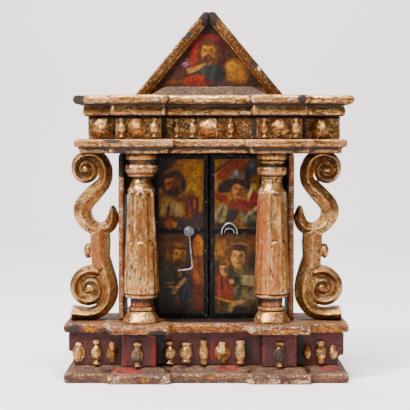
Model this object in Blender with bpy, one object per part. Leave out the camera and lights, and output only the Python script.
"""Carved and gilded table oratory: stepped base, two-door cabinet, columns, scrolls, pediment.

Metres, +Z up. The front faces -Y. The origin is on the floor, in the plane of the door
fronts, under the line where the two doors meet.
"""

import math
from dataclasses import dataclass, replace

import bmesh
import bpy
from mathutils import Vector

GAP = 0.0003
LEDGE_SLOPE = 0.0002
COLLECTION_NAME = "table_oratory"

# Heights of the courses, from the floor up
PLINTH_HEIGHT = 0.0135
PLINTH_MOULDING_HEIGHT = 0.0090
DADO_HEIGHT = 0.0465
TOP_SLAB_HEIGHT = 0.0135
DOOR_ZONE_HEIGHT = 0.2390
ARCHITRAVE_STEP_HEIGHT = 0.0090
ARCHITRAVE_MOULDING_HEIGHT = 0.0110
FRIEZE_HEIGHT = 0.0320
BED_MOULD_HEIGHT = 0.0115
COVE_HEIGHT = 0.0055
CORONA_HEIGHT = 0.0125
CORONA_TEAR_LENGTH = 0.0210
CORONA_TEAR_DEPTH = 0.0035
SLAB_NOSE = 0.0025
CORONA_NOSE = 0.0030
LIP_LOWER_EASE = 0.0015
LIP_UPPER_EASE = 0.0020
BED_MOULD_EASE = 0.0020
COVE_FLARE = 0.0020

# Depths, measured back and forward from the door fronts
CASE_DEPTH = 0.0700
TOP_SLAB_REACH = 0.0560
TOP_SLAB_BLOCK_PROJECTION = 0.0240
PLINTH_REACH = 0.0670
PLINTH_BLOCK_PROJECTION = 0.0110
PLINTH_MOULDING_REACH = 0.0520
DADO_REACH = 0.0460
BLOCK_PROJECTION = 0.0200
ARCHITRAVE_REACH = 0.0450
ARCHITRAVE_LIP = 0.0075
FRIEZE_REACH = 0.0400
BED_MOULD_LIP = 0.0065
CORONA_REACH = 0.0600

# Widths and sideways places, hand made and so a little off centre
BASE_CENTRE_X = -0.0040
PLINTH_WIDTH = 0.4000
PLINTH_MOULDING_WIDTH = 0.3835
DADO_WIDTH = 0.3895
TOP_SLAB_WIDTH = 0.4030
ARCHITRAVE_CENTRE_X = 0.0020
ARCHITRAVE_WIDTH = 0.3690
FRIEZE_CENTRE_X = 0.0070
FRIEZE_WIDTH = 0.3550
CORONA_CENTRE_X = 0.0060
CORONA_WIDTH = 0.3935
BLOCK_OFFSET = 0.0985
SLAB_BLOCK_WIDTH = 0.0930
MOULDING_BLOCK_WIDTH = 0.0800
DIE_WIDTH = 0.0500
FRIEZE_BLOCK_WIDTH = 0.0660
CORONA_BLOCK_WIDTH = 0.0850
BLOCK_SPLAY = 0.0040
DIE_SPLAY = 0.0005
ENTABLATURE_SPLAY = 0.0010

# Losses on the base, with the heights that they reach as shares of the dado
DADO_LEFT_LOSS_DEPTH = 0.0065
DADO_LEFT_LOSS_SHARE = 0.42
DADO_RIGHT_LOSS_DEPTH = 0.0080
DADO_RIGHT_LOSS_SHARE = 0.30
DADO_LOSS_BACK_SHARE = 0.40
SLAB_CHIP_RADII = (0.0110, 0.0100, 0.0095)

# Cabinet boards
SIDE_BOARD_THICKNESS = 0.0085
SIDE_BOARD_OFFSET = 0.1210
SIDE_BOARD_CLEARANCE = 0.0008
CABINET_WALL = 0.0080
CLEAT_HEIGHT = 0.0600
CLEAT_FRONT = 0.0200
CABINET_OPENING = 0.1600

# Doors
DOOR_THICKNESS = 0.0090
DOOR_SIDE_CLEARANCE = 0.0005
DOOR_MEETING_GAP = 0.0020
DOOR_FOOT_CLEARANCE = 0.0008
DOOR_HEAD_CLEARANCE = 0.0015
DOOR_STILE = 0.0068
DOOR_RAIL = 0.0072
DOOR_MIDDLE_RAIL_HEIGHT = 0.1265
PICTURE_RECESS = 0.0012

# Iron hinges
HINGE_PIN_RADIUS = 0.0022
HINGE_PIN_REACH = 0.0030
HINGE_KNUCKLE_LENGTH = 0.0090
HINGE_LEAF_THICKNESS = 0.0010
HINGE_LEAF_WIDTH = 0.0060
HINGE_INSET = 0.0420

# Iron latch
LATCH_WIRE_RADIUS = 0.0011
LATCH_EYE_X = -0.0288
LATCH_EYE_HEIGHT = 0.2090
LATCH_POST_RADIUS = 0.0016
LATCH_ROSETTE_RADIUS = 0.0065
LATCH_ROSETTE_THICKNESS = 0.0020
LATCH_HOOK_REACH = 0.0105
LATCH_RING_RADIUS = 0.0040
LATCH_SHANK_LENGTH = 0.0530
LATCH_SHANK_LEAN = 0.0050
LATCH_TAIL_LENGTH = 0.0210
LATCH_BEND_RADIUS = 0.0040
CATCH_X = 0.0293
CATCH_FOOT_HEIGHT = 0.2045
CATCH_HALF_WIDTH = 0.0115
CATCH_RISE = 0.0170
CATCH_REACH = 0.0062
CATCH_POINTS = 9

# Columns, turned and then fluted
COLUMN_DOOR_CLEARANCE = 0.0087
LEFT_COLUMN_X = -0.0960
RIGHT_COLUMN_X = 0.0886
LEFT_FOOT_RADIUS = 0.0273
RIGHT_FOOT_RADIUS = 0.0264
LEFT_COLLAR_RADIUS = 0.0238
RIGHT_COLLAR_RADIUS = 0.0212
COLUMN_FOOT_HEIGHT = 0.0165
COLUMN_RING_HEIGHT = 0.0035
COLUMN_LOWER_NECK_HEIGHT = 0.0122
COLUMN_LOWER_NECK_RADIUS = 0.0155
COLUMN_SHAFT_FOOT_RADIUS = 0.0250
COLUMN_SHAFT_STEP_RADIUS = 0.0222
COLUMN_SHAFT_TOP_RADIUS = 0.0195
COLUMN_UPPER_NECK_RADIUS = 0.0125
COLUMN_CAP_RADIUS = 0.0218
COLUMN_CAP_HEIGHT = 0.0090
COLUMN_COLLAR_HEIGHT = 0.0170
FLUTE_COUNT = 8
FLUTE_POINTS = 3
RIGHT_COLUMN_TURN = 11.0
FLUTE_DEPTH = 0.0016
REED_DEPTH = 0.0008
SHAFT_STEP_SHARE = 0.485
SHAFT_FOOT_RISE = 0.0010
SHAFT_STEP_RISE = 0.0020
COLUMN_SEAT_EASE = 0.0005

# Scroll brackets
SCROLL_REACH = 0.0290
SCROLL_BACK = 0.0050
SCROLL_RIDGE = 0.0065
SCROLL_FLOOR = 0.0110
SCROLL_DESIGN_UNITS = 239.0

# Pediment
PEDIMENT_HALF_WIDTH = 0.1050
PEDIMENT_SLOPE = 1.2010
PEDIMENT_HEIGHT = 0.1170
PEDIMENT_REACH = 0.0300
PEDIMENT_THICKNESS = 0.0160
RAKE_WIDTH = 0.0150
RAKE_THICKNESS = 0.0100
RAKE_FILLET_WIDTH = 0.0040
RAKE_FILLET_DROP = 0.0040
LEDGE_HEIGHT = 0.0130
LEDGE_THICKNESS = 0.0090
LEDGE_TOP_THICKNESS = 0.0020
LEDGE_TOP_SHARE = 0.82
RAKE_NOTCH_SHARE = 0.735
RAKE_NOTCH_RADII = (0.0060, 0.0120, 0.0035)

# Applied half beads
BEAD_TURN_STEPS = 5
BEAD_LINE_SHARE = 0.39
GEM_RIDGE_LENGTH_SHARE = 0.30
GEM_RIDGE_HEIGHT_SHARE = 0.07

# Levels and planes worked out from the sizes above
PLINTH_TOP = PLINTH_HEIGHT
MOULDING_TOP = PLINTH_TOP + PLINTH_MOULDING_HEIGHT
DADO_TOP = MOULDING_TOP + DADO_HEIGHT
BASE_TOP = DADO_TOP + TOP_SLAB_HEIGHT
ARCHITRAVE_BOTTOM = BASE_TOP + DOOR_ZONE_HEIGHT
ARCHITRAVE_MIDDLE = ARCHITRAVE_BOTTOM + ARCHITRAVE_STEP_HEIGHT
ARCHITRAVE_TOP = ARCHITRAVE_MIDDLE + ARCHITRAVE_MOULDING_HEIGHT
FRIEZE_TOP = ARCHITRAVE_TOP + FRIEZE_HEIGHT
BED_MOULD_TOP = FRIEZE_TOP + BED_MOULD_HEIGHT
COVE_TOP = BED_MOULD_TOP + COVE_HEIGHT
CORONA_TOP = COVE_TOP + CORONA_HEIGHT
COLUMN_Y = -(max(LEFT_FOOT_RADIUS, RIGHT_FOOT_RADIUS) + COLUMN_DOOR_CLEARANCE)


@dataclass(frozen=True)
class Look:
    """Colour and surface of one material."""

    name: str
    colour: tuple
    roughness: float
    metallic: float


GILT = Look("worn_gilding", (0.48, 0.27, 0.08), 0.42, 0.55)
OXBLOOD = Look("oxblood_paint", (0.12, 0.035, 0.03), 0.60, 0.0)
BLACK = Look("black_paint", (0.015, 0.014, 0.014), 0.45, 0.0)
IRON = Look("dark_iron", (0.05, 0.05, 0.055), 0.45, 0.8)
OLD_WOOD = Look("old_wood", (0.16, 0.09, 0.045), 0.75, 0.0)
DUSTY = Look("dusty_gilt_wood", (0.30, 0.18, 0.10), 0.65, 0.2)


@dataclass(frozen=True)
class Plan:
    """Outline of a course seen from above, with two blocks that step forward."""

    centre_x: float
    width: float
    reach: float
    block_reach: float
    block_width: float
    splay: float
    back: float

    def grown(self, amount):
        """Return the same outline with its front and ends moved out by an amount."""
        return replace(
            self,
            width=self.width + 2 * amount,
            reach=self.reach + amount,
            block_reach=self.block_reach + amount,
            block_width=self.block_width + 2 * amount,
        )

    def points(self, height):
        """Return the outline's corners at a height, starting at the back left."""
        left = self.centre_x - self.width / 2
        right = self.centre_x + self.width / 2
        corners = [(left, self.back), (left, -self.reach)]
        for side in (-1, 1):
            centre = side * BLOCK_OFFSET
            near = centre - self.block_width / 2
            far = centre + self.block_width / 2
            corners.append((near, -self.reach))
            corners.append((near + self.splay, -self.block_reach))
            corners.append((far - self.splay, -self.block_reach))
            corners.append((far, -self.reach))
        corners += [(right, -self.reach), (right, self.back)]
        return [Vector((x, y, height)) for x, y in corners]


def clear_scene():
    """Remove every object that the file already holds."""
    for item in list(bpy.data.objects):
        bpy.data.objects.remove(item, do_unlink=True)


def make_collection(name):
    """Make a collection under the scene's own one."""
    collection = bpy.data.collections.new(name)
    bpy.context.scene.collection.children.link(collection)
    return collection


def make_material(look):
    """Make one Principled material from a look."""
    material = bpy.data.materials.new(look.name)
    material.use_nodes = True
    shader = material.node_tree.nodes["Principled BSDF"]
    shader.inputs["Base Color"].default_value = (*look.colour, 1.0)
    shader.inputs["Roughness"].default_value = look.roughness
    shader.inputs["Metallic"].default_value = look.metallic
    material.diffuse_color = (*look.colour, 1.0)
    return material


class Workshop:
    """Keeps the collections and materials, and adds finished pieces to them."""

    def __init__(self):
        self.parts = make_collection(COLLECTION_NAME)
        self.cutters = make_collection("cutters")
        self.materials = {}

    def add(self, name, bm, look):
        """Turn an edit mesh into a named piece with its material."""
        bmesh.ops.recalc_face_normals(bm, faces=bm.faces)
        mesh = bpy.data.meshes.new(name)
        bm.to_mesh(mesh)
        bm.free()
        if look.name not in self.materials:
            self.materials[look.name] = make_material(look)
        mesh.materials.append(self.materials[look.name])
        piece = bpy.data.objects.new(name, mesh)
        self.parts.objects.link(piece)
        return piece

    def helper(self, name, bm):
        """Turn an edit mesh into a hidden cutter."""
        bmesh.ops.recalc_face_normals(bm, faces=bm.faces)
        mesh = bpy.data.meshes.new(name)
        bm.to_mesh(mesh)
        bm.free()
        cutter = bpy.data.objects.new(name, mesh)
        cutter.hide_render = True
        cutter.display_type = "WIRE"
        self.cutters.objects.link(cutter)
        return cutter

    def combine(self, piece, bm, operation):
        """Join, cut or limit a piece with another shape."""
        index = len(piece.modifiers)
        cutter = self.helper(f"{piece.name}_cutter_{index}", bm)
        step = piece.modifiers.new(f"step_{index}", "BOOLEAN")
        step.operation = operation
        step.object = cutter
        step.solver = "EXACT"


def box(low, high):
    """Return a box between two opposite corners."""
    bm = bmesh.new()
    bmesh.ops.create_cube(bm, size=1.0)
    low = Vector(low)
    size = Vector(high) - low
    for vert in bm.verts:
        share = vert.co + Vector((0.5, 0.5, 0.5))
        vert.co = low + Vector(a * b for a, b in zip(share, size))
    return bm


def rod(start, end, radius, sides=16):
    """Return a cylinder between two points."""
    bm = bmesh.new()
    axis = Vector(end) - Vector(start)
    bmesh.ops.create_cone(
        bm, cap_ends=True, segments=sides, radius1=radius, radius2=radius, depth=axis.length
    )
    turn = Vector((0, 0, 1)).rotation_difference(axis.normalized())
    middle = (Vector(start) + Vector(end)) / 2
    for vert in bm.verts:
        vert.co = turn @ vert.co + middle
    return bm


def ball(centre, radii, segments=8, rings=6):
    """Return an ellipsoid."""
    bm = bmesh.new()
    bmesh.ops.create_uvsphere(bm, u_segments=segments, v_segments=rings, radius=1.0)
    for vert in bm.verts:
        vert.co = Vector(centre) + Vector(a * b for a, b in zip(vert.co, radii))
    return bm


def loft(sections):
    """Skin a closed solid through unlike sections that have equal point counts."""
    bm = bmesh.new()
    rings = [[bm.verts.new(point) for point in section] for section in sections]
    for near, far in zip(rings, rings[1:]):
        for index, vert in enumerate(near):
            after = (index + 1) % len(near)
            bm.faces.new((vert, near[after], far[after], far[index]))
    bm.faces.new(list(reversed(rings[0])))
    bm.faces.new(rings[-1])
    return bm


def course(bottom, profile):
    """Build a moulded course from (plan, height above the bottom) pairs, its ledges sloped a hair."""
    sections = []
    level = -LEDGE_SLOPE
    for plan, rise in profile:
        level = max(rise, level + LEDGE_SLOPE)
        sections.append(plan.points(bottom + level))
    return loft(sections)


def round_nose(plan, height, bulge, steps=5):
    """Return profile pairs for a course whose edge swells out in the middle."""
    pairs = []
    for step in range(steps + 1):
        share = step / steps
        pairs.append((plan.grown(bulge * (math.sin(math.pi * share) - 1)), height * share))
    return pairs


def base_plan(width, reach, block_width, splay=BLOCK_SPLAY, projection=BLOCK_PROJECTION):
    """Return the plan of a course of the base."""
    return Plan(BASE_CENTRE_X, width, reach, reach + projection, block_width, splay, CASE_DEPTH)


def top_plan(centre_x, width, reach, block_width, splay=ENTABLATURE_SPLAY):
    """Return the plan of a course of the entablature."""
    return Plan(centre_x, width, reach, reach + BLOCK_PROJECTION, block_width, splay, CASE_DEPTH)


def build_base(shop):
    """Build the stepped plinth, the dado and the top slab."""
    slab = base_plan(PLINTH_WIDTH, PLINTH_REACH, SLAB_BLOCK_WIDTH, projection=PLINTH_BLOCK_PROJECTION)
    moulding = base_plan(PLINTH_MOULDING_WIDTH, PLINTH_MOULDING_REACH, MOULDING_BLOCK_WIDTH)
    dado = base_plan(DADO_WIDTH, DADO_REACH, DIE_WIDTH, splay=DIE_SPLAY)
    worn_edge = PLINTH_HEIGHT / 8
    plinth_profile = [
        (slab.grown(-worn_edge), 0.0),
        (slab, worn_edge),
        (slab, PLINTH_HEIGHT - worn_edge),
        (slab.grown(-worn_edge), PLINTH_HEIGHT),
        (moulding, PLINTH_HEIGHT),
        (moulding, PLINTH_HEIGHT + PLINTH_MOULDING_HEIGHT * 0.45),
        (moulding.grown(DADO_REACH - PLINTH_MOULDING_REACH), MOULDING_TOP),
    ]
    shop.add("base_plinth", course(0.0, plinth_profile), DUSTY)

    dado_piece = shop.add(
        "base_dado", course(MOULDING_TOP + GAP, [(dado, 0.0), (dado, DADO_HEIGHT - GAP)]), OXBLOOD
    )
    left_end = BASE_CENTRE_X - DADO_WIDTH / 2
    right_end = BASE_CENTRE_X + DADO_WIDTH / 2
    losses = (
        (left_end, DADO_LEFT_LOSS_SHARE, DADO_LEFT_LOSS_DEPTH),
        (right_end, DADO_RIGHT_LOSS_SHARE, DADO_RIGHT_LOSS_DEPTH),
    )
    for end, share, depth in losses:
        loss = box(
            (end - depth, -DADO_REACH - depth, MOULDING_TOP - depth),
            (end + depth, CASE_DEPTH * DADO_LOSS_BACK_SHARE, MOULDING_TOP + DADO_HEIGHT * share),
        )
        shop.combine(dado_piece, loss, "DIFFERENCE")

    top = base_plan(TOP_SLAB_WIDTH, TOP_SLAB_REACH, SLAB_BLOCK_WIDTH, projection=TOP_SLAB_BLOCK_PROJECTION)
    slab_piece = shop.add(
        "base_top_slab",
        course(DADO_TOP + GAP, round_nose(top, TOP_SLAB_HEIGHT - GAP, SLAB_NOSE)),
        DUSTY,
    )
    slab_front = -TOP_SLAB_REACH - TOP_SLAB_BLOCK_PROJECTION
    corner = Vector((-BLOCK_OFFSET + SLAB_BLOCK_WIDTH / 2, slab_front, DADO_TOP))
    shop.combine(slab_piece, ball(corner, SLAB_CHIP_RADII), "DIFFERENCE")


def build_entablature(shop):
    """Build the architrave, the frieze and the cornice."""
    step = top_plan(ARCHITRAVE_CENTRE_X, ARCHITRAVE_WIDTH, ARCHITRAVE_REACH, CORONA_BLOCK_WIDTH)
    lip = step.grown(ARCHITRAVE_LIP)
    architrave_profile = [
        (step, 0.0),
        (step, ARCHITRAVE_STEP_HEIGHT),
        (lip.grown(-LIP_LOWER_EASE), ARCHITRAVE_STEP_HEIGHT),
        (lip, ARCHITRAVE_STEP_HEIGHT + ARCHITRAVE_MOULDING_HEIGHT * 0.35),
        (lip, ARCHITRAVE_STEP_HEIGHT + ARCHITRAVE_MOULDING_HEIGHT * 0.70),
        (lip.grown(-LIP_UPPER_EASE), ARCHITRAVE_STEP_HEIGHT + ARCHITRAVE_MOULDING_HEIGHT),
    ]
    shop.add("architrave", course(ARCHITRAVE_BOTTOM, architrave_profile), GILT)

    frieze = top_plan(FRIEZE_CENTRE_X, FRIEZE_WIDTH, FRIEZE_REACH, FRIEZE_BLOCK_WIDTH)
    shop.add(
        "frieze", course(ARCHITRAVE_TOP + GAP, [(frieze, 0.0), (frieze, FRIEZE_HEIGHT - GAP)]), GILT
    )

    bed = frieze.grown(BED_MOULD_LIP)
    corona = top_plan(CORONA_CENTRE_X, CORONA_WIDTH, CORONA_REACH, CORONA_BLOCK_WIDTH)
    cove = frieze.grown(BED_MOULD_LIP / 2)
    cornice_profile = [
        (bed.grown(-BED_MOULD_EASE), GAP),
        (bed, BED_MOULD_HEIGHT * 0.3),
        (bed, BED_MOULD_HEIGHT),
        (cove, BED_MOULD_HEIGHT),
        (cove.grown(COVE_FLARE), BED_MOULD_HEIGHT + COVE_HEIGHT),
    ]
    for plan, rise in round_nose(corona, CORONA_HEIGHT, CORONA_NOSE):
        cornice_profile.append((plan, BED_MOULD_HEIGHT + COVE_HEIGHT + rise))
    cornice = shop.add("cornice", course(FRIEZE_TOP, cornice_profile), GILT)
    left = CORONA_CENTRE_X - CORONA_WIDTH / 2
    torn_end = box(
        (left - CORONA_TEAR_DEPTH, -CORONA_REACH - CORONA_TEAR_DEPTH, COVE_TOP - COVE_HEIGHT / 2),
        (left + CORONA_TEAR_LENGTH, -CORONA_REACH + CORONA_TEAR_DEPTH, CORONA_TOP + COVE_HEIGHT),
    )
    shop.combine(cornice, torn_end, "DIFFERENCE")


def side_board_reach():
    """Return how far forward the side boards come before they meet the columns' feet."""
    reaches = []
    columns = ((-1, LEFT_COLUMN_X, LEFT_FOOT_RADIUS), (1, RIGHT_COLUMN_X, RIGHT_FOOT_RADIUS))
    for side, column_x, foot in columns:
        face = BASE_CENTRE_X + side * (SIDE_BOARD_OFFSET - SIDE_BOARD_THICKNESS / 2)
        sideways = abs(face - column_x)
        flank = math.sqrt(max(foot**2 - sideways**2, 0.0))
        reaches.append(-COLUMN_Y - flank - SIDE_BOARD_CLEARANCE)
    return min(reaches)


def build_cabinet(shop):
    """Build the outer side boards, the hollow case between them and the cleats that join them."""
    low = BASE_TOP + GAP
    high = ARCHITRAVE_BOTTOM - GAP
    for side, label in ((-1, "left"), (1, "right")):
        middle = BASE_CENTRE_X + side * SIDE_BOARD_OFFSET
        half = SIDE_BOARD_THICKNESS / 2
        shop.add(
            f"{label}_side_board",
            box((middle - half, -side_board_reach(), low), (middle + half, CASE_DEPTH, high)),
            GILT,
        )
        inner = side * CABINET_OPENING / 2
        outer = side * (CABINET_OPENING / 2 + CABINET_WALL)
        shop.add(
            f"cabinet_{label}_wall",
            box((min(inner, outer), 0.0, low), (max(inner, outer), CASE_DEPTH - CABINET_WALL - GAP, high)),
            OLD_WOOD,
        )
        shop.add(
            f"cabinet_{label}_cleat",
            box(
                (min(outer, middle - side * half) + GAP, CLEAT_FRONT, high - CLEAT_HEIGHT),
                (max(outer, middle - side * half) - GAP, CASE_DEPTH - CABINET_WALL - GAP, high),
            ),
            OLD_WOOD,
        )
    half_width = CABINET_OPENING / 2 + CABINET_WALL
    shop.add(
        "cabinet_back",
        box((-half_width, CASE_DEPTH - CABINET_WALL, low), (half_width, CASE_DEPTH, high)),
        OLD_WOOD,
    )


def hinge_axis_x(side):
    """Return where a door's hinge pin stands."""
    return side * (CABINET_OPENING / 2 - DOOR_SIDE_CLEARANCE / 2)


def build_door(shop, side, label):
    """Build one door with its two sunk pictures and its half of the hinges."""
    outer = side * (CABINET_OPENING / 2 - DOOR_SIDE_CLEARANCE)
    inner = side * DOOR_MEETING_GAP / 2
    left, right = min(outer, inner), max(outer, inner)
    low = BASE_TOP + DOOR_FOOT_CLEARANCE
    high = ARCHITRAVE_BOTTOM - DOOR_HEAD_CLEARANCE
    door = shop.add(f"{label}_door", box((left, 0.0, low), (right, DOOR_THICKNESS, high)), BLACK)
    middle = BASE_TOP + DOOR_MIDDLE_RAIL_HEIGHT
    pictures = (
        (low + DOOR_RAIL, middle - DOOR_RAIL / 2),
        (middle + DOOR_RAIL / 2, high - DOOR_RAIL),
    )
    for bottom, top in pictures:
        pocket = box(
            (left + DOOR_STILE, -DOOR_THICKNESS, bottom), (right - DOOR_STILE, PICTURE_RECESS, top)
        )
        shop.combine(door, pocket, "DIFFERENCE")
    for height, place in ((low + HINGE_INSET, "lower"), (high - HINGE_INSET, "upper")):
        build_hinge(shop, side, label, height, place)
    return door


def build_hinge(shop, side, label, height, place):
    """Build one iron hinge: a leaf on the case and a leaf on the door, on one pin line."""
    pin_x = hinge_axis_x(side)
    for target, direction, shift in (("case", side, -1), ("door", -side, 1)):
        start = height + shift * HINGE_KNUCKLE_LENGTH / 2 - HINGE_KNUCKLE_LENGTH / 2 + GAP / 2
        end = start + HINGE_KNUCKLE_LENGTH - GAP
        leaf_end = pin_x + direction * HINGE_LEAF_WIDTH
        leaf = box(
            (min(pin_x, leaf_end), -GAP - HINGE_LEAF_THICKNESS, start),
            (max(pin_x, leaf_end), -GAP, end),
        )
        piece = shop.add(f"{label}_{place}_hinge_{target}_leaf", leaf, IRON)
        pin = [(pin_x, -HINGE_PIN_REACH, height) for height in (start, end)]
        knuckle = rod(*pin, HINGE_PIN_RADIUS, 12)
        shop.combine(piece, knuckle, "UNION")


def wire(name, points, radius, closed=False):
    """Return an edit mesh of a round wire along a path."""
    curve = bpy.data.curves.new(name, "CURVE")
    curve.dimensions = "3D"
    curve.bevel_depth = radius
    curve.bevel_resolution = 2
    curve.use_fill_caps = True
    spline = curve.splines.new("POLY")
    spline.points.add(len(points) - 1)
    for point, place in zip(spline.points, points):
        point.co = (*place, 1.0)
    spline.use_cyclic_u = closed
    guide = bpy.data.objects.new(name, curve)
    bpy.context.scene.collection.objects.link(guide)
    evaluated = guide.evaluated_get(bpy.context.evaluated_depsgraph_get())
    mesh = bpy.data.meshes.new_from_object(evaluated)
    bm = bmesh.new()
    bm.from_mesh(mesh)
    bmesh.ops.remove_doubles(bm, verts=bm.verts, dist=0.00001)
    bpy.data.objects.remove(guide, do_unlink=True)
    return bm


def arc(centre, radius, start, end, steps):
    """Return points (x, z) of an arc, angles in degrees from +X towards +Z."""
    points = []
    for step in range(steps + 1):
        angle = math.radians(start + (end - start) * step / steps)
        points.append((centre[0] + radius * math.cos(angle), centre[1] + radius * math.sin(angle)))
    return points


def build_latch(shop):
    """Build the iron eye post, the swinging hook and the catch on the other door."""
    eye = Vector((LATCH_EYE_X, 0.0, LATCH_EYE_HEIGHT))
    front = -LATCH_HOOK_REACH - LATCH_WIRE_RADIUS * 2.5
    post = shop.add(
        "latch_eye_post",
        rod(eye + Vector((0, front, 0)), eye + Vector((0, -GAP, 0)), LATCH_POST_RADIUS, 12),
        IRON,
    )
    rosette_front = Vector((0, -GAP - LATCH_ROSETTE_THICKNESS, 0))
    rosette = rod(eye + rosette_front, eye + Vector((0, -GAP, 0)), LATCH_ROSETTE_RADIUS)
    shop.combine(post, rosette, "UNION")
    head = rod(
        eye + Vector((0, front - LATCH_WIRE_RADIUS, 0)),
        eye + Vector((0, front, 0)) + Vector((0, LATCH_WIRE_RADIUS / 4, 0)),
        LATCH_POST_RADIUS * 1.6,
        12,
    )
    shop.combine(post, head, "UNION")

    foot = (LATCH_EYE_X + LATCH_SHANK_LEAN, LATCH_EYE_HEIGHT - LATCH_SHANK_LENGTH)
    lean = Vector((foot[0] - eye.x, foot[1] - eye.z)).normalized()
    shank_top = Vector((eye.x, eye.z)) + lean * LATCH_RING_RADIUS
    bend_start = Vector(foot) - lean * LATCH_BEND_RADIUS
    bend_centre = bend_start + Vector((lean.y, -lean.x)) * LATCH_BEND_RADIUS
    start_angle = math.degrees(math.atan2(-lean.x, lean.y)) + 180
    bend = arc(bend_centre, LATCH_BEND_RADIUS, start_angle, start_angle - 84, 5)
    tail_end = (foot[0] - LATCH_TAIL_LENGTH, foot[1] - LATCH_BEND_RADIUS)
    shank = [tuple(shank_top)] + bend + [tail_end]
    path = [(x, -LATCH_HOOK_REACH, z) for x, z in shank]
    hook = shop.add("latch_hook", wire("hook_wire", path, LATCH_WIRE_RADIUS), IRON)
    ring_points = [
        (x, -LATCH_HOOK_REACH, z) for x, z in arc((eye.x, eye.z), LATCH_RING_RADIUS, 0, 330, 11)
    ]
    shop.combine(hook, wire("hook_ring", ring_points, LATCH_WIRE_RADIUS, closed=True), "UNION")

    bow = []
    for step in range(CATCH_POINTS + 1):
        angle = math.pi * step / CATCH_POINTS
        rise = math.sin(angle)
        bow.append(
            (
                CATCH_X - CATCH_HALF_WIDTH * math.cos(angle),
                -LATCH_WIRE_RADIUS - GAP - (CATCH_REACH - 2 * LATCH_WIRE_RADIUS) * rise,
                CATCH_FOOT_HEIGHT + CATCH_RISE * rise,
            )
        )
    shop.add("latch_catch", wire("catch_wire", bow, LATCH_WIRE_RADIUS), IRON)


def column_rows(foot_radius, collar_radius):
    """Return (height, radius, flute depth) rows of a column, from its foot up."""
    total = DOOR_ZONE_HEIGHT - 2 * GAP
    rows = [(0.0, foot_radius * 0.90, 0.0)]
    for step in range(1, 4):
        angle = math.pi * step / 4
        swell = foot_radius * (0.88 + 0.12 * math.sin(angle))
        rows.append((COLUMN_FOOT_HEIGHT * step / 4, swell, 0.0))
    ring_low = COLUMN_FOOT_HEIGHT + COLUMN_RING_HEIGHT
    ring_high = ring_low + COLUMN_RING_HEIGHT
    neck_high = ring_high + COLUMN_LOWER_NECK_HEIGHT
    shaft_low = neck_high + COLUMN_RING_HEIGHT
    ring_radius = foot_radius * 0.79
    rows += [
        (COLUMN_FOOT_HEIGHT, ring_radius * 0.86, 0.0),
        (ring_low, ring_radius * 0.86, 0.0),
        (ring_low + COLUMN_RING_HEIGHT * 0.2, ring_radius, 0.0),
        (ring_high, ring_radius, 0.0),
        (ring_high + COLUMN_LOWER_NECK_HEIGHT * 0.15, COLUMN_LOWER_NECK_RADIUS * 1.06, 0.0),
        (ring_high + COLUMN_LOWER_NECK_HEIGHT * 0.55, COLUMN_LOWER_NECK_RADIUS, 0.0),
        (neck_high, COLUMN_LOWER_NECK_RADIUS * 1.06, 0.0),
        (neck_high + COLUMN_RING_HEIGHT * 0.2, ring_radius * 0.97, 0.0),
        (shaft_low, ring_radius * 0.97, 0.0),
    ]
    collar_low = total - COLUMN_CAP_HEIGHT - COLUMN_COLLAR_HEIGHT - 2 * COLUMN_RING_HEIGHT
    neck_low = collar_low - COLUMN_RING_HEIGHT
    shaft_high = neck_low - COLUMN_COLLAR_HEIGHT * 0.8
    step_height = shaft_low + (shaft_high - shaft_low) * SHAFT_STEP_SHARE
    rows += [
        (shaft_low + SHAFT_FOOT_RISE, COLUMN_SHAFT_FOOT_RADIUS, REED_DEPTH),
        (step_height, COLUMN_SHAFT_STEP_RADIUS, REED_DEPTH),
        (step_height + SHAFT_STEP_RISE, COLUMN_SHAFT_STEP_RADIUS * 0.97, FLUTE_DEPTH),
        (shaft_high, COLUMN_SHAFT_TOP_RADIUS, FLUTE_DEPTH),
        (shaft_high + (neck_low - shaft_high) * 0.55, COLUMN_SHAFT_TOP_RADIUS * 0.80, 0.0),
        (neck_low, COLUMN_UPPER_NECK_RADIUS, 0.0),
        (collar_low, COLUMN_UPPER_NECK_RADIUS, 0.0),
    ]
    for step in range(4):
        angle = math.pi * (step + 0.5) / 4
        height = collar_low + COLUMN_COLLAR_HEIGHT * (0.08 + 0.92 * step / 3)
        rows.append((height, collar_radius * (0.80 + 0.20 * math.sin(angle)), 0.0))
    cap_low = total - COLUMN_CAP_HEIGHT
    rows += [
        (collar_low + COLUMN_COLLAR_HEIGHT + COLUMN_SEAT_EASE, COLUMN_CAP_RADIUS * 0.80, 0.0),
        (cap_low - COLUMN_SEAT_EASE, COLUMN_CAP_RADIUS * 0.80, 0.0),
        (cap_low, COLUMN_CAP_RADIUS * 0.94, 0.0),
        (cap_low + COLUMN_CAP_HEIGHT * 0.45, COLUMN_CAP_RADIUS, 0.0),
        (total, COLUMN_CAP_RADIUS * 0.94, 0.0),
    ]
    return rows


def build_column(shop, name, x, foot_radius, collar_radius, turn):
    """Build one fluted column, reeded in its lower part."""
    sections = []
    for height, radius, depth in column_rows(foot_radius, collar_radius):
        ring = []
        for index in range(FLUTE_POINTS * FLUTE_COUNT):
            flutes = (index + FLUTE_POINTS / 2) / FLUTE_POINTS
            angle = 2 * math.pi * flutes / FLUTE_COUNT - math.pi / 2 + math.radians(turn)
            reach = radius - (depth if index % FLUTE_POINTS else 0.0)
            ring.append(
                Vector(
                    (
                        x + reach * math.cos(angle),
                        COLUMN_Y + reach * math.sin(angle),
                        BASE_TOP + GAP + height,
                    )
                )
            )
        sections.append(ring)
    shop.add(name, loft(sections), GILT)


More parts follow.
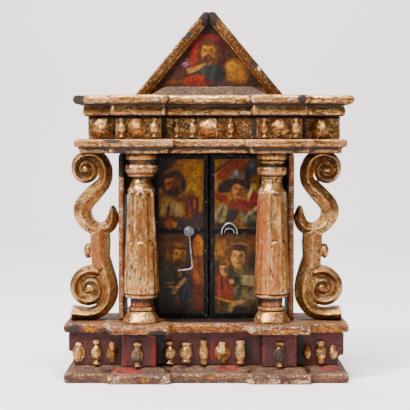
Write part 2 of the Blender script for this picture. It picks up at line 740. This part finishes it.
def spiral(centre, keys, step_degrees=22.5):
    """Return (x, z, half width) points of a spiral through (angle, radius, half width) keys."""
    points = []
    for (start, radius_a, width_a), (end, radius_b, width_b) in zip(keys, keys[1:]):
        count = max(1, round(abs(end - start) / step_degrees))
        for step in range(count):
            share = step / count
            angle = math.radians(start + (end - start) * share)
            radius = radius_a + (radius_b - radius_a) * share
            half = width_a + (width_b - width_a) * share
            points.append((centre[0] + radius * math.cos(angle), centre[1] + radius * math.sin(angle), half))
    return points


def flowing(points, per_span=2):
    """Return points along a smooth line through the given (x, z, half width) points."""
    ends = [points[0]] + list(points) + [points[-1]]
    result = []
    for index in range(1, len(ends) - 2):
        before, start, end, after = (Vector(ends[index + shift]) for shift in (-1, 0, 1, 2))
        for step in range(per_span):
            t = step / per_span
            result.append(
                0.5
                * (
                    2 * start
                    + (end - before) * t
                    + (2 * before - 5 * start + 4 * end - after) * t * t
                    + (3 * start - before - 3 * end + after) * t * t * t
                )
            )
    result.append(Vector(points[-1]))
    return [tuple(point) for point in result]


UPPER_VOLUTE = (-46.0, 216.5)
LOWER_VOLUTE = (-40.3, 46.5)
UPPER_SPIRAL = ((540, 7.2, 2.2), (450, 9.4, 3.0), (360, 13.4, 3.8), (270, 16.8, 4.8),
                (180, 14.9, 4.2), (90, 20.5, 6.5), (20, 27.5, 8.6))
UPPER_SWEEP = ((-18.0, 217.0, 9.0), (-20.0, 199.0, 9.6), (-35.0, 182.0, 12.0), (-49.0, 166.0, 12.4),
               (-51.0, 152.0, 12.0), (-43.0, 138.0, 10.4), (-29.0, 130.5, 9.2), (-14.0, 134.5, 9.4),
               (-8.4, 147.0, 7.8), (-8.4, 159.0, 4.4), (-9.2, 164.5, 1.6))
STEM = ((-27.0, 128.0, 13.0), (-26.2, 112.0, 13.8), (-26.0, 95.0, 12.8), (-26.0, 74.0, 12.2))
LOWER_SWEEP = ((-25.0, 92.0, 11.0), (-19.0, 72.0, 11.2), (-13.6, 50.0, 11.4), (-14.6, 30.0, 11.2),
               (-26.0, 14.0, 9.6), (-42.0, 8.8, 8.5), (-60.0, 9.8, 9.2), (-67.5, 10.4, 9.4))
LOWER_SPIRAL = ((60, 26.0, 7.0), (90, 24.8, 6.4), (180, 22.8, 6.2), (270, 18.6, 6.4),
                (360, 11.4, 3.8), (450, 10.6, 3.4), (540, 8.6, 2.8))
UPPER_EYE_RADIUS = 5.6
LOWER_EYE_RADIUS = 5.9
KNOB_PLACE = (-44.0, 99.5)
KNOB_RADII = (6.0, 11.0)


class Scroll:
    """One scroll bracket, carved from a plank that stands beside a side board."""

    def __init__(self, side):
        self.side = side
        board = BASE_CENTRE_X + side * (SIDE_BOARD_OFFSET + SIDE_BOARD_THICKNESS / 2)
        self.face_x = board + side * GAP
        self.unit = DOOR_ZONE_HEIGHT / SCROLL_DESIGN_UNITS

    def place(self, x, y, z):
        """Return the world place of a point given in design units."""
        return Vector((self.face_x - self.side * x * self.unit, y, BASE_TOP + z * self.unit))

    def band(self, points, ridge, back):
        """Return a solid band with a roof-shaped front along a path."""
        sections = []
        for index, (x, z, half) in enumerate(points):
            before = Vector(points[max(index - 1, 0)][:2])
            after = Vector(points[min(index + 1, len(points) - 1)][:2])
            along = (after - before).normalized()
            across = Vector((-along.y, along.x)) * half
            edge = -SCROLL_REACH + ridge
            sections.append(
                [
                    self.place(x + across.x, back, z + across.y),
                    self.place(x + across.x, edge, z + across.y),
                    self.place(x, -SCROLL_REACH, z),
                    self.place(x - across.x, edge, z - across.y),
                    self.place(x - across.x, back, z - across.y),
                ]
            )
        return loft(sections)

    def disc(self, centre, radius, front, back, sides=16):
        """Return a round slab that closes the back of a volute."""
        return rod(self.place(centre[0], front, centre[1]), self.place(centre[0], back, centre[1]),
                   radius * self.unit, sides)

    def build(self, shop, name):
        """Build the bracket from its bands, volutes, eyes and knob, trimmed to its space."""
        back = SCROLL_BACK
        floor = -SCROLL_REACH + SCROLL_FLOOR
        upper = spiral(UPPER_VOLUTE, UPPER_SPIRAL) + flowing(UPPER_SWEEP)
        piece = shop.add(name, self.band(upper, SCROLL_RIDGE, back), GILT)
        joined = (
            self.band(STEM, SCROLL_RIDGE, back - 0.0004),
            self.band(flowing(LOWER_SWEEP), SCROLL_RIDGE * 0.95, back - 0.0008),
            self.band(spiral(LOWER_VOLUTE, LOWER_SPIRAL), SCROLL_RIDGE * 0.9, back - 0.0012),
            self.disc(UPPER_VOLUTE, UPPER_SPIRAL[3][1], floor, back - 0.0016),
            self.disc(LOWER_VOLUTE, LOWER_SPIRAL[2][1], floor, back - 0.0020),
            ball(self.place(UPPER_VOLUTE[0], floor, UPPER_VOLUTE[1]),
                 (UPPER_EYE_RADIUS * self.unit, SCROLL_FLOOR * 0.9, UPPER_EYE_RADIUS * self.unit)),
            ball(self.place(LOWER_VOLUTE[0], floor, LOWER_VOLUTE[1]),
                 (LOWER_EYE_RADIUS * self.unit, SCROLL_FLOOR * 0.9, LOWER_EYE_RADIUS * self.unit)),
            ball(self.place(KNOB_PLACE[0], (back - SCROLL_REACH) / 2, KNOB_PLACE[1]),
                 (KNOB_RADII[0] * self.unit, (SCROLL_REACH + back) * 0.36, KNOB_RADII[1] * self.unit)),
        )
        for shape in joined:
            shop.combine(piece, shape, "UNION")
        inner = self.face_x
        outer = self.face_x + self.side * DOOR_ZONE_HEIGHT
        room = box(
            (min(inner, outer), -SCROLL_REACH * 2, BASE_TOP + GAP),
            (max(inner, outer), SCROLL_BACK * 2, ARCHITRAVE_BOTTOM - GAP),
        )
        shop.combine(piece, room, "INTERSECT")


def rake_line(across, height):
    """Return the half width of the pediment at a height, for a line set in from its edge."""
    inset = across * math.hypot(1.0, PEDIMENT_SLOPE) / PEDIMENT_SLOPE
    return PEDIMENT_HALF_WIDTH - inset - height / PEDIMENT_SLOPE


def build_pediment(shop):
    """Build the painted board, the two raking mouldings and the ledge."""
    bottom = CORONA_TOP + GAP
    top_half = rake_line(0.0, PEDIMENT_HEIGHT)
    outline = [
        (-PEDIMENT_HALF_WIDTH, bottom),
        (PEDIMENT_HALF_WIDTH, bottom),
        (top_half, bottom + PEDIMENT_HEIGHT),
        (-top_half, bottom + PEDIMENT_HEIGHT),
    ]
    front = -PEDIMENT_REACH
    back = front + PEDIMENT_THICKNESS
    shop.add(
        "pediment_board",
        loft([[Vector((x, y, z)) for x, z in outline] for y in (front, back)]),
        OXBLOOD,
    )

    profile = (
        (0.0, 0.0),
        (0.0, 0.85),
        (0.12, 1.0),
        ((RAKE_WIDTH - RAKE_FILLET_WIDTH) / RAKE_WIDTH, 0.9),
        ((RAKE_WIDTH - RAKE_FILLET_WIDTH) / RAKE_WIDTH, 1.0 - RAKE_FILLET_DROP / RAKE_THICKNESS),
        (1.0, 1.0 - RAKE_FILLET_DROP / RAKE_THICKNESS),
        (1.0, 0.0),
    )
    for side, label in ((-1, "left"), (1, "right")):
        low_end = []
        high_end = []
        for across_share, proud_share in profile:
            across = across_share * RAKE_WIDTH
            y = front - GAP - proud_share * RAKE_THICKNESS
            low_end.append(Vector((side * rake_line(across, 0.0), y, bottom)))
            crown = (rake_line(across, 0.0) - GAP) * PEDIMENT_SLOPE
            high_end.append(Vector((side * GAP, y, bottom + crown)))
        rake = shop.add(f"{label}_raking_moulding", loft([low_end, high_end]), GILT)
        reach = PEDIMENT_HALF_WIDTH
        above = bottom + PEDIMENT_HEIGHT
        shop.combine(rake, box((-reach, -reach, above), (reach, reach, above + reach)), "DIFFERENCE")
        if side < 0:
            notch_height = PEDIMENT_HEIGHT * RAKE_NOTCH_SHARE
            notch_x = -rake_line(0.0, notch_height)
            notch_place = (notch_x, front - RAKE_THICKNESS, bottom + notch_height)
            shop.combine(rake, ball(notch_place, RAKE_NOTCH_RADII), "DIFFERENCE")
    ledge_back = front - GAP
    ledge_sections = []
    for height, share, thickness in (
        (0.0, 1.0, LEDGE_THICKNESS),
        (LEDGE_HEIGHT, LEDGE_TOP_SHARE, LEDGE_TOP_THICKNESS),
    ):
        half = (rake_line(RAKE_WIDTH, height) - GAP * 4) * share
        corners = (
            (-half, ledge_back), (-half, ledge_back - thickness), (half, ledge_back - thickness), (half, ledge_back)
        )
        ledge_sections.append([Vector((x, y, bottom + height)) for x, y in corners])
    shop.add("pediment_ledge", loft(ledge_sections), DUSTY)


@dataclass(frozen=True)
class Bead:
    """One applied half bead: where it sits, its shape and its size."""

    kind: str
    x: float
    width: float
    height: float
    on_block: bool = False


SPINDLE = ((0.0, 0.42), (0.10, 0.62), (0.20, 0.42), (0.28, 0.60), (0.40, 0.92), (0.54, 1.00),
           (0.68, 0.86), (0.78, 0.45), (0.88, 0.66), (1.0, 0.46))
BARREL = ((0.0, 0.55), (0.10, 0.78), (0.18, 0.72), (0.30, 0.92), (0.50, 1.00), (0.70, 0.94),
          (0.82, 0.74), (0.90, 0.82), (1.0, 0.58))
OVAL = ((0.0, 0.20), (0.10, 0.55), (0.28, 0.88), (0.50, 1.00), (0.72, 0.86), (0.90, 0.52), (1.0, 0.20))

FRIEZE_BEADS = (
    Bead("gem", -0.1485, 0.0310, 0.0285), Bead("spindle", -0.1219, 0.0135, 0.0290, True),
    Bead("gem", -0.1000, 0.0260, 0.0270, True), Bead("spindle", -0.0762, 0.0140, 0.0290, True),
    Bead("spindle", -0.0462, 0.0105, 0.0290), Bead("spindle", -0.0231, 0.0130, 0.0290),
    Bead("gem", 0.0032, 0.0360, 0.0280), Bead("spindle", 0.0309, 0.0140, 0.0290),
    Bead("spindle", 0.0773, 0.0130, 0.0290, True), Bead("gem", 0.0992, 0.0250, 0.0265, True),
    Bead("spindle", 0.1215, 0.0140, 0.0290, True), Bead("gem", 0.1576, 0.0280, 0.0280),
)
BASE_BEADS = (
    Bead("gem", -0.1842, 0.0180, 0.0290), Bead("spindle", -0.1591, 0.0165, 0.0360),
    Bead("gem", -0.1370, 0.0165, 0.0290), Bead("spindle", -0.1003, 0.0180, 0.0360, True),
    Bead("spindle", -0.0559, 0.0180, 0.0345), Bead("barrel", -0.0323, 0.0205, 0.0285),
    Bead("barrel", -0.0079, 0.0155, 0.0360), Bead("gem", 0.0189, 0.0220, 0.0305),
    Bead("barrel", 0.0443, 0.0180, 0.0345), Bead("spindle", 0.0988, 0.0180, 0.0360, True),
    Bead("oval", 0.1389, 0.0130, 0.0260), Bead("barrel", 0.1576, 0.0155, 0.0325),
    Bead("gem", 0.1755, 0.0125, 0.0210),
)


def turned_half(profile, x, front, centre_z, width, height):
    """Return half of a turned bead, flat where it meets the ground behind it."""
    sections = []
    for share, swell in profile:
        radius = swell * width / 2
        level = centre_z + (share - 0.5) * height
        ring = []
        for step in range(BEAD_TURN_STEPS + 1):
            angle = math.pi * step / BEAD_TURN_STEPS
            ring.append(Vector((x - radius * math.cos(angle), front - radius * math.sin(angle), level)))
        sections.append(ring)
    return loft(sections)


def cut_gem(x, front, centre_z, width, height):
    """Return a low faceted gem: a rimmed lozenge that rises to a short level ridge."""
    rise = min(width, height) * 0.42
    outline = ((-0.5, -0.16), (-0.5, 0.16), (-0.18, 0.5), (0.18, 0.5), (0.5, 0.16), (0.5, -0.16),
               (0.18, -0.5), (-0.18, -0.5))
    sections = []
    ridge = (GEM_RIDGE_LENGTH_SHARE, GEM_RIDGE_HEIGHT_SHARE, 1.0)
    for across, along, proud in ((1.0, 1.0, 0.0), (1.0, 1.0, 0.18), ridge):
        wide = width * across
        tall = height * along
        level = front - proud * rise
        sections.append([Vector((x + a * wide, level, centre_z + b * tall)) for a, b in outline])
    return loft(sections)


def build_beads(shop, prefix, beads, reach, centre_z):
    """Build one row of applied half beads."""
    shapes = {"spindle": SPINDLE, "barrel": BARREL, "oval": OVAL}
    for number, bead in enumerate(beads, start=1):
        front = -reach - GAP - (BLOCK_PROJECTION if bead.on_block else 0.0)
        if bead.kind == "gem":
            bm = cut_gem(bead.x, front, centre_z, bead.width, bead.height)
        else:
            bm = turned_half(shapes[bead.kind], bead.x, front, centre_z, bead.width, bead.height)
        shop.add(f"{prefix}_bead_{number:02d}", bm, GILT)


def main():
    """Build the whole oratory."""
    clear_scene()
    shop = Workshop()
    build_base(shop)
    build_cabinet(shop)
    build_entablature(shop)
    build_door(shop, -1, "left")
    build_door(shop, 1, "right")
    build_latch(shop)
    build_column(shop, "left_column", LEFT_COLUMN_X, LEFT_FOOT_RADIUS, LEFT_COLLAR_RADIUS, 0.0)
    build_column(shop, "right_column", RIGHT_COLUMN_X, RIGHT_FOOT_RADIUS, RIGHT_COLLAR_RADIUS, RIGHT_COLUMN_TURN)
    Scroll(-1).build(shop, "left_scroll_bracket")
    Scroll(1).build(shop, "right_scroll_bracket")
    build_pediment(shop)
    build_beads(shop, "frieze", FRIEZE_BEADS, FRIEZE_REACH, (ARCHITRAVE_TOP + FRIEZE_TOP) / 2)
    build_beads(shop, "base", BASE_BEADS, DADO_REACH, MOULDING_TOP + DADO_HEIGHT * BEAD_LINE_SHARE)


main()
